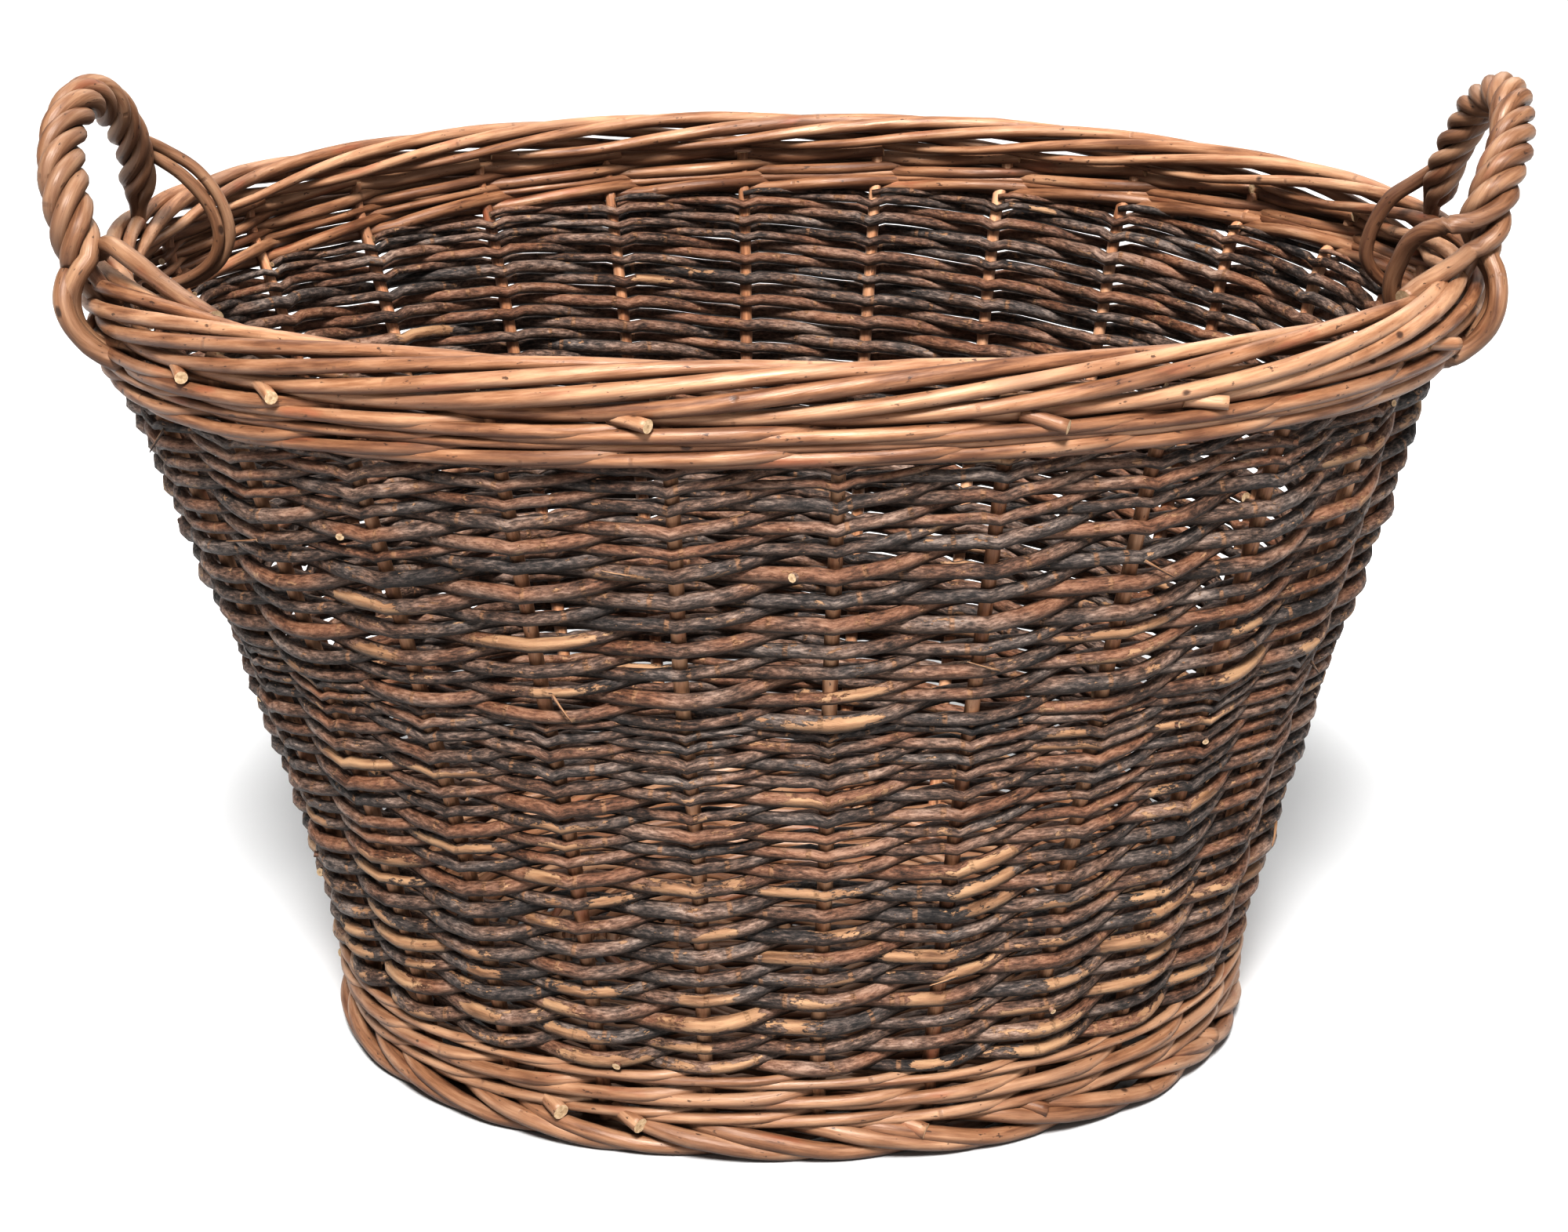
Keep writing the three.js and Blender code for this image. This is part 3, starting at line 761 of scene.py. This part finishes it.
def border_rods(seed):
    """Each stake's end laid along the rim: from low inside, out under the rim and up, over the top and
    down to low inside again, by its roll round the rim's middle line."""
    rng = np.random.default_rng(seed)
    rods = []
    for i in range(STAKES):
        part = np.linspace(0, 1, int(BORDER_SPACES * STEPS))
        roll = np.interp(part, [0, 0.1, 0.22, 0.88, 1], [-112, -84, -50, 185, 225])
        roll = np.radians(roll + 6 * smooth_noise(rng, len(part), STEPS * 2))
        radii = np.interp(part, [0, 0.08, 0.7, 1], [3.0, 3.55, 3.4, 1.9]) * MM * rng.uniform(0.86, 1.1)
        tuck = np.interp(part, [0, 0.1, 0.88, 1], [0.55, 1, 1, 0.3])
        reach_out = (RIM_HALF_WIDE - radii + 0.6 * MM * smooth_noise(rng, len(part), STEPS)) * tuck
        reach_up = (RIM_HALF_TALL - radii + 0.5 * MM * smooth_noise(rng, len(part), STEPS)) * tuck
        stake = i + rng.uniform(-0.1, 0.1) + part * BORDER_SPACES
        points, outs = rim(stake, RIM_MIDDLE + reach_up * np.sin(roll), reach_out * np.cos(roll))
        outs = outs * np.cos(roll)[:, None] + np.array([0, 0, 1]) * np.sin(roll)[:, None]
        rods.append(add_nodes(rng, Rod(points, outs, radii), every=0.09, swell=0.07))
    return rods


build_rods("rim_border_rods", border_rods(41), BUFF, "buff_willow", ["rim_border"], 41, sides=12)

# Cut ends that show under the rim, by stake count: the first few follow the front, from left to right.
STUB_PLACES = (-5.6, -4.2, -3.3, -1.0, 1.2, 2.3, 4.3, 6.1, 8.2, 9.9, 11.7, 13.6, 15.4, 17.8)


def stub_rods(seed):
    rng = np.random.default_rng(seed)
    rods = []
    for place in STUB_PLACES:
        u = np.linspace(0, 1, 7)
        stake = place - 0.24 * (1 - u) + rng.uniform(-0.1, 0.1)
        height = RIM_BOTTOM + (4.5 + rng.uniform(-1, 1) - rng.uniform(1, 4) * u) * MM
        points, _ = rim(stake, height, (5 + rng.uniform(6.5, 9) * u ** 1.3) * MM)
        rods.append(Rod(points, [0, 0, 1], rng.uniform(2.4, 3.2) * MM))
    return rods


build_rods("rim_cut_ends", stub_rods(42), BUFF, "buff_willow", ["rim_border"], 42, sides=12)

# ---- Foot border ----
FOOT_PAIRS = 16
# Along the border in pair spaces, with the offset and the height, in millimetres, of a rod's middle.
FOOT_ROUTE = np.array([
    [-0.45, -7, 12], [-0.2, -1, 13.5], [0, 6, 14], [0.12, 8.5, 12.5], [0.35, 10.5, 9.5],
    [0.7, 10, 4.9], [1.0, 6.5, 3.9], [1.3, 0.5, 4.0], [1.6, -5, 5.0], [1.85, -9, 8],
])


def foot_rods(seed):
    """The foot border: pairs of rods that bend out round a knuckle, down and in under the next ones."""
    rng = np.random.default_rng(seed)
    rods = []
    space = STAKES / FOOT_PAIRS
    for pair in range(FOOT_PAIRS):
        for shift in (0, 0.36):
            station = np.linspace(FOOT_ROUTE[0, 0], FOOT_ROUTE[-1, 0], 46)
            offset = smooth_route(station, FOOT_ROUTE[:, 0], FOOT_ROUTE[:, 1])
            height = smooth_route(station, FOOT_ROUTE[:, 0], FOOT_ROUTE[:, 2])
            offset += rng.uniform(-0.8, 0.8) + 0.5 * smooth_noise(rng, len(station), 9)
            radii = np.interp(station, [-0.45, 0, 1.85], [3.6, 3.95, 3.2]) * rng.uniform(0.93, 1.05)
            height = np.maximum(height + 0.5 * smooth_noise(rng, len(station), 9), radii * 1.12)
            stake = (pair + shift + rng.uniform(-0.06, 0.06) + station) * space
            points, outs = wall(stake, height * MM, offset * MM)
            rods.append(add_nodes(rng, Rod(points, outs, radii * MM), swell=0.06))
    return rods


def smooth_route(x, stations, values):
    """A smooth curve through stations, with no overshoot."""
    slopes = np.gradient(values, stations)
    place = np.clip(np.searchsorted(stations, x) - 1, 0, len(stations) - 2)
    width = stations[place + 1] - stations[place]
    t = (x - stations[place]) / width
    start, end = values[place], values[place + 1]
    rise_in, rise_out = slopes[place] * width, slopes[place + 1] * width
    t2, t3 = t * t, t * t * t
    return ((2 * t3 - 3 * t2 + 1) * start + (t3 - 2 * t2 + t) * rise_in
            + (3 * t2 - 2 * t3) * end + (t3 - t2) * rise_out)


build_rods("foot_border_rods", foot_rods(51), FOOT, "buff_willow", ["foot_border"], 51, sides=12)

# Cut ends of the foot border and the bottom stakes: place by stake count, height in millimetres.
FOOT_STUBS = ((-2.35, 17.5), (-1.6, 16), (0.95, 13), (2.1, 14), (4.4, 12), (6.8, 15), (8.3, 16),
              (10.9, 13), (12.6, 17), (15.2, 15), (17.9, 14), (19.3, 16))


def foot_stub_rods(seed):
    rng = np.random.default_rng(seed)
    rods = []
    for place, height in FOOT_STUBS:
        u = np.linspace(0, 1, 7)
        points, outs = wall(place - 0.28 * (1 - u), (height + 4 * (1 - u)) * MM, (3 + 9 * u) * MM)
        rods.append(Rod(points, outs, rng.uniform(3.2, 3.9) * MM))
    return rods


build_rods("foot_cut_ends", foot_stub_rods(52), FOOT, "buff_willow", ["foot_border"], 52, sides=12)

# ---- Base ----
LONG_STICKS = nodes_named("base_long_stick_")
CROSS_STICKS = nodes_named("base_cross_stick_")
BASE_LOW, BASE_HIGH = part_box("base_weave")
BASE_MIDDLE = (BASE_LOW[2] + BASE_HIGH[2]) / 2
BASE_HALF = np.array([BASE_HIGH[0], BASE_HIGH[1]])
# The weave's rings, from one to the next, their radius and how far they swing up and down; the hole
# that the first ring leaves, and the sticks' radii.
BASE_PITCH = 5.3 * MM
BASE_WEAVER = 2.45 * MM
BASE_SWING = 4.1 * MM
BASE_HOLE = 12 * MM
CROSS_STICK_RADIUS = 3.5 * MM
LONG_STICK_RADIUS = 2.4 * MM


def stick_line(name):
    """The middle and half sizes of a base stick, and the axis that it lies along."""
    low, high = (np.array(corner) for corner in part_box(name))
    half = (high - low) / 2
    return (low + high) / 2, half, int(half[1] > half[0])


def base_sticks(seed):
    rng = np.random.default_rng(seed)
    rods = []
    for name in LONG_STICKS + CROSS_STICKS:
        centre, half, axis = stick_line(name)
        part = np.linspace(-1, 1, 40)
        points = np.tile(centre, (40, 1))
        points[:, axis] += half[axis] * part
        points[:, 1 - axis] += 1.2 * MM * smooth_noise(rng, 40, 14)
        radius = CROSS_STICK_RADIUS if axis else LONG_STICK_RADIUS
        rods.append(add_nodes(rng, Rod(points, [0, 0, 1], radius)))
    return rods


def base_rings(seed):
    """Rings of weave, each over one stick and under the next, from round the middle out to the edge."""
    rng = np.random.default_rng(seed)
    rods = []
    count = int((BASE_HALF[1] - BASE_HOLE) / BASE_PITCH)
    for ring in range(count):
        half = BASE_HALF - BASE_WEAVER - (count - 1 - ring) * BASE_PITCH
        half = np.maximum(half, [BASE_HALF[0] - BASE_HALF[1] + BASE_HOLE, BASE_HOLE])
        crossings = []
        for name in LONG_STICKS + CROSS_STICKS:
            centre, _, axis = stick_line(name)
            off = centre[1 - axis] / half[1 - axis]
            if abs(off) >= 1:
                continue
            edge = (1 - abs(off) ** OVAL_POWER) ** (1 / OVAL_POWER) * half[axis]
            for sign in (-1, 1):
                spot = np.zeros(2)
                spot[axis], spot[1 - axis] = sign * edge, centre[1 - axis]
                way = signed_power(spot / half, OVAL_POWER / 2)
                crossings.append(math.atan2(way[1], way[0]) % (2 * math.pi))
        crossings.sort()
        steps = max(60, int(sum(half) * 3.2 / (4.5 * MM)))
        angle = np.linspace(0, 2 * math.pi, steps + 1)
        turns = np.array([crossings[-1] - 2 * math.pi] + crossings + [crossings[0] + 2 * math.pi])
        phase = np.interp(angle, turns, np.arange(-1, len(crossings) + 1)) + ring
        flat, normal = oval_points(half, angle)
        wander = 0.5 * MM * np.sin(3 * angle + rng.uniform(0, 6)) * rng.uniform(0.3, 1)
        flat = flat + normal * wander[:, None]
        height = BASE_MIDDLE + BASE_SWING * signed_power(np.cos(math.pi * phase), 0.8)
        points = np.column_stack([flat, height])
        radii = BASE_WEAVER * (1 + 0.07 * np.sin(angle * 2 + rng.uniform(0, 6))) * rng.uniform(0.93, 1.08)
        rods.append(Rod(points, [0, 0, 1], radii))
    return rods


build_rods("base_sticks", base_sticks(61), PALE, "base_willow", LONG_STICKS + CROSS_STICKS, 61)
build_rods("base_weaving", base_rings(62), PALE, "base_willow", ["base_weave"], 62)

# ---- Rope handles ----
# The bows' stations, as in the CAD: place along Y, distance out from the rim's middle line, height.
BOWS = {
    -1: [(-87, -2, 348), (-88, 7, 358), (-88, 14, 370), (-83, 17, 387), (-68, 17, 404), (-50, 13, 417),
         (-33, 7, 424), (-16, 1, 422), (-1, -4, 413), (11, -7, 399), (21, -7, 384), (29, -5, 369),
         (33, -3, 352)],
    1: [(-80, -3, 348), (-81, 3, 358), (-81, 8, 371), (-79, 12, 388), (-67, 16, 404), (-50, 18, 416),
        (-32, 17, 423), (-14, 13.5, 423.5), (1, 9, 416), (12, 4, 402), (21, 0, 386), (30, -0.5, 370),
        (36, -2, 352)],
}
# Where each roping rod goes below the rope's front end, and the angle at which it leaves the rope.
FRONT_ENDS = {
    -1: [(210, [(-97, 23.5, 360), (-101, 26, 353), (-103, 24.5, 345), (-103, 19, 337), (-103, 12, 331),
                (-103, 4, 327), (-103, -5, 326)]),
         (300, [(-97, 17, 365), (-98, 21, 358), (-97, 21.5, 350), (-96, 19, 341), (-96, 13, 334),
                (-96, 4, 329), (-96, -5, 328)]),
         (120, [(-80, 12, 358), (-80, 6, 350), (-80, 0, 344)]),
         (30, [(-90, 4, 374), (-98, 3, 375.5), (-106, -1, 372.5), (-113, -6, 368), (-121, -9.5, 364),
               (-134, -11.5, 360.5), (-150, -12, 357)])],
    1: [(336, [(-88, 18.5, 362), (-93, 21, 354), (-95, 20.5, 346), (-95, 16.5, 338), (-95, 11, 332),
               (-95, 3, 327), (-95, -6, 326)]),
        (66, [(-78, 14, 362), (-84, 17.5, 354), (-87, 17, 346), (-88, 13, 338), (-88, 8, 333),
              (-88, 1, 329), (-88, -6, 328)]),
        (246, [(-93, 4, 368), (-99, -2, 364), (-105, -8, 360), (-113, -12, 356.5)]),
        (156, [(-90, 7, 384), (-90, -3, 382.5), (-86, -13, 379), (-82, -20, 373), (-79, -24, 365),
               (-77, -27, 356), (-76, -26, 345), (-76, -18, 336), (-76, -8, 332)])],
}
# Thin rods that leave each rope near its back end and turn down inside the rim.
BACK_TAILS = {
    -1: [[(20, -10, 397), (27, -18, 391), (31, -31, 381), (32, -41, 366), (32, -44, 351), (33, -39, 339),
          (34, -27, 330), (35, -13, 326), (36, -5, 325)],
         [(22, -9, 392), (25, -16, 387), (27, -27, 378), (28, -37, 364), (28, -40, 351), (29, -36, 340),
          (30, -25, 332), (31, -12, 328), (32, -4, 327)]],
    1: [[(28, 3, 388), (34, -1, 381), (38, -9, 374), (40, -19, 366), (41, -27, 350), (41, -28, 338),
         (42, -20, 328), (43, -9, 324), (44, -3, 323)]],
}
ROPE_TURNS = {-1: 3.3, 1: 3.7}
BOW_RADIUS = 3.2 * MM
ROPE_RADIUS = 6.9 * MM
STRAND_RADIUS = 4.15 * MM
ROPE_THINS_TO = 0.74
# The tails' radii at their two ends, in millimetres, and how much thicker they are on each handle.
TAIL_RADII = (2.9, 2.3)
TAIL_THICKER = {-1: 1, 1: 1.25}
# The shares of the bow at which the roping starts and ends, and where the rod of this angle leaves it.
ROPE_START, ROPE_END = 0.115, 0.90
LEAVES_EARLY = {156: 0.20}
BOW_STEP = 1.5 * MM
ROD_STEP = 2.6 * MM


def at_rim(side, stations):
    """Points from stations of place along Y, distance out from the rim's middle line, and height."""
    rows = np.array(stations, float) * MM
    rim_x = RIM_HALF[0] * (1 - np.abs(rows[:, 0] / RIM_HALF[1]) ** OVAL_POWER) ** (1 / OVAL_POWER)
    return np.column_stack([side * (rim_x + rows[:, 1]), rows[:, 0], rows[:, 2]])


def through(points, spacing):
    """A smooth line through points, with samples at an even spacing."""
    steps = np.concatenate([[0], np.cumsum(np.linalg.norm(np.diff(points, axis=0), axis=1) ** 0.5)])
    fine = np.linspace(0, steps[-1], len(points) * 12)
    line = np.column_stack([smooth_route(fine, steps, points[:, axis]) for axis in range(3)])
    along = distances(line)
    even = np.linspace(0, along[-1], max(4, int(along[-1] / spacing)))
    return np.column_stack([np.interp(even, along, line[:, axis]) for axis in range(3)])


def rope_strands(side, seed):
    """A handle's bow, the roping rods wound round it, and the thin tails at its back end."""
    rng = np.random.default_rng(seed)
    bow = through(at_rim(side, BOWS[side]), BOW_STEP)
    tangent = unit(np.gradient(bow, axis=0))
    across = unit(np.array([1.0, 0, 0]) - tangent * tangent[:, :1])
    up = np.cross(tangent, across)
    first, last = int(len(bow) * ROPE_START), int(len(bow) * ROPE_END)
    thin = np.interp(np.arange(len(bow)), [first, last], [1, ROPE_THINS_TO])
    rods = [add_nodes(rng, Rod(bow, across, BOW_RADIUS * thin))]
    for phase, ends in FRONT_ENDS[side]:
        stretch = slice(int(len(bow) * LEAVES_EARLY.get(phase, ROPE_START)), last, 2)
        part = (np.arange(len(bow))[stretch] - first) / (last - first)
        twist = math.radians(phase) + 2 * math.pi * ROPE_TURNS[side] * part
        angle = twist + 0.12 * smooth_noise(rng, len(part), 12)
        reach = ROPE_RADIUS * thin[stretch] + 0.5 * MM * smooth_noise(rng, len(part), 9)
        outward = across[stretch] * np.cos(angle)[:, None] + up[stretch] * np.sin(angle)[:, None]
        strand = bow[stretch] + outward * reach[:, None]
        # Past the roping's end each rod closes in on the bow, and they go down into the rim together.
        tail = np.array([bow[-1] * 0.8 + strand[-1] * 0.2 + np.array([0, 0, 8 * MM]), bow[-1]])
        line = through(np.concatenate([at_rim(side, ends)[::-1], strand, tail]), ROD_STEP)
        radii = STRAND_RADIUS * rng.uniform(0.93, 1.04) * (1 + 0.05 * smooth_noise(rng, len(line), 8))
        radii *= np.interp(np.arange(len(line)) / len(line), [0.3, 1], [1, ROPE_THINS_TO])
        rods.append(add_nodes(rng, Rod(line, [side, -0.25, 0.3], radii), every=0.06, swell=0.08))
    for tail in BACK_TAILS[side]:
        line = through(at_rim(side, tail), ROD_STEP)
        radii = np.linspace(*TAIL_RADII, len(line)) * MM * TAIL_THICKER[side]
        rods.append(add_nodes(rng, Rod(line, [0.3, 1, 0.2], radii), swell=0.07))
    return rods


for side_name, side_sign in (("left", -1), ("right", 1)):
    rope_seed = 70 + side_sign
    build_rods(side_name + "_rope_handle", rope_strands(side_sign, rope_seed), ROPE, "buff_willow",
               nodes_named(side_name + "_handle_"), rope_seed, sides=12)

# ---- Stage ----
FLOOR_HALF = 12.0
FLOOR_GREY = 0.74
# The sky's light above the horizon's band and in it, and the band's upper edge.
WORLD_LIGHT = 0.12
HORIZON_LIGHT = 0.9
HORIZON_TOP = (0.13, 0.18)
VIEW_GAMMA = 0.76
VIEW_EXPOSURE = 0.3
BASKET_MIDDLE = (0, 0, 0.2)
CAMERA_PLACE = (0, -1.584, 0.713)
CAMERA_TILT = math.radians(71.44)
LENS_MM = 84.1
SENSOR_MM = 36


def lamp(name, kind, place, target, **settings):
    data = bpy.data.lights.new(name, kind)
    for key, value in settings.items():
        setattr(data, key, value)
    light = bpy.data.objects.new(name, data)
    light.location = place
    light.rotation_euler = (Vector(target) - Vector(place)).to_track_quat("-Z", "Y").to_euler()
    bpy.context.scene.collection.objects.link(light)


def floor():
    corners = [(x * FLOOR_HALF, y * FLOOR_HALF, 0) for x, y in ((-1, -1), (1, -1), (1, 1), (-1, 1))]
    mesh = bpy.data.meshes.new("floor")
    mesh.from_pydata(corners, [], [(0, 1, 2, 3)])
    plane = bpy.data.objects.new("floor", mesh)
    bpy.context.scene.collection.objects.link(plane)
    white = Material("floor_white")
    white.shader.inputs["Base Color"].default_value = (FLOOR_GREY, FLOOR_GREY, FLOOR_GREY, 1)
    white.shader.inputs["Roughness"].default_value = 0.9
    mesh.materials.append(white.material)


def sky():
    """A dim white sky with a bright band along the horizon, and the view's own brightness curve."""
    world = bpy.data.worlds.new("studio")
    world.use_nodes = True
    background = world.node_tree.nodes["Background"]
    background.inputs["Color"].default_value = (1, 1, 1, 1)
    n = Nodes(world.node_tree)
    rise = n.axis(n.add("ShaderNodeTexCoord").outputs["Generated"], 2)
    n.feed(background.inputs["Strength"], n.remap(rise, *HORIZON_TOP, HORIZON_LIGHT, WORLD_LIGHT))
    scene = bpy.context.scene
    scene.world = world
    scene.view_settings.view_transform = "Standard"
    scene.view_settings.gamma = VIEW_GAMMA
    scene.view_settings.exposure = VIEW_EXPOSURE


def lamps():
    """A high soft key from the front, a fill, a back light, one into the basket and two on the floor."""
    lamp("key", "SUN", (-0.05, -1.5, 2.0), BASKET_MIDDLE, energy=4.3, angle=math.radians(14))
    lamp("inside", "AREA", (0, -0.55, 1.35), (0, 0.25, 0.24), energy=4, size=0.7)
    for side in (-1, 1):
        lamp("floor_wash", "AREA", (side * 0.8, 0.9, 1.5), (side * 0.5, 0.45, 0), energy=8, size=1.0)
    lamp("fill", "AREA", (1.6, -1.5, 1.0), BASKET_MIDDLE, energy=5, size=1.4)
    lamp("back", "AREA", (0.2, 1.9, 1.6), BASKET_MIDDLE, energy=5, size=1.4)


def camera():
    data = bpy.data.cameras.new("camera")
    data.lens = LENS_MM
    data.sensor_width = SENSOR_MM
    eye = bpy.data.objects.new("camera", data)
    eye.location = CAMERA_PLACE
    eye.rotation_euler = (CAMERA_TILT, 0, 0)
    bpy.context.scene.collection.objects.link(eye)
    bpy.context.scene.camera = eye


floor()
sky()
lamps()
camera()
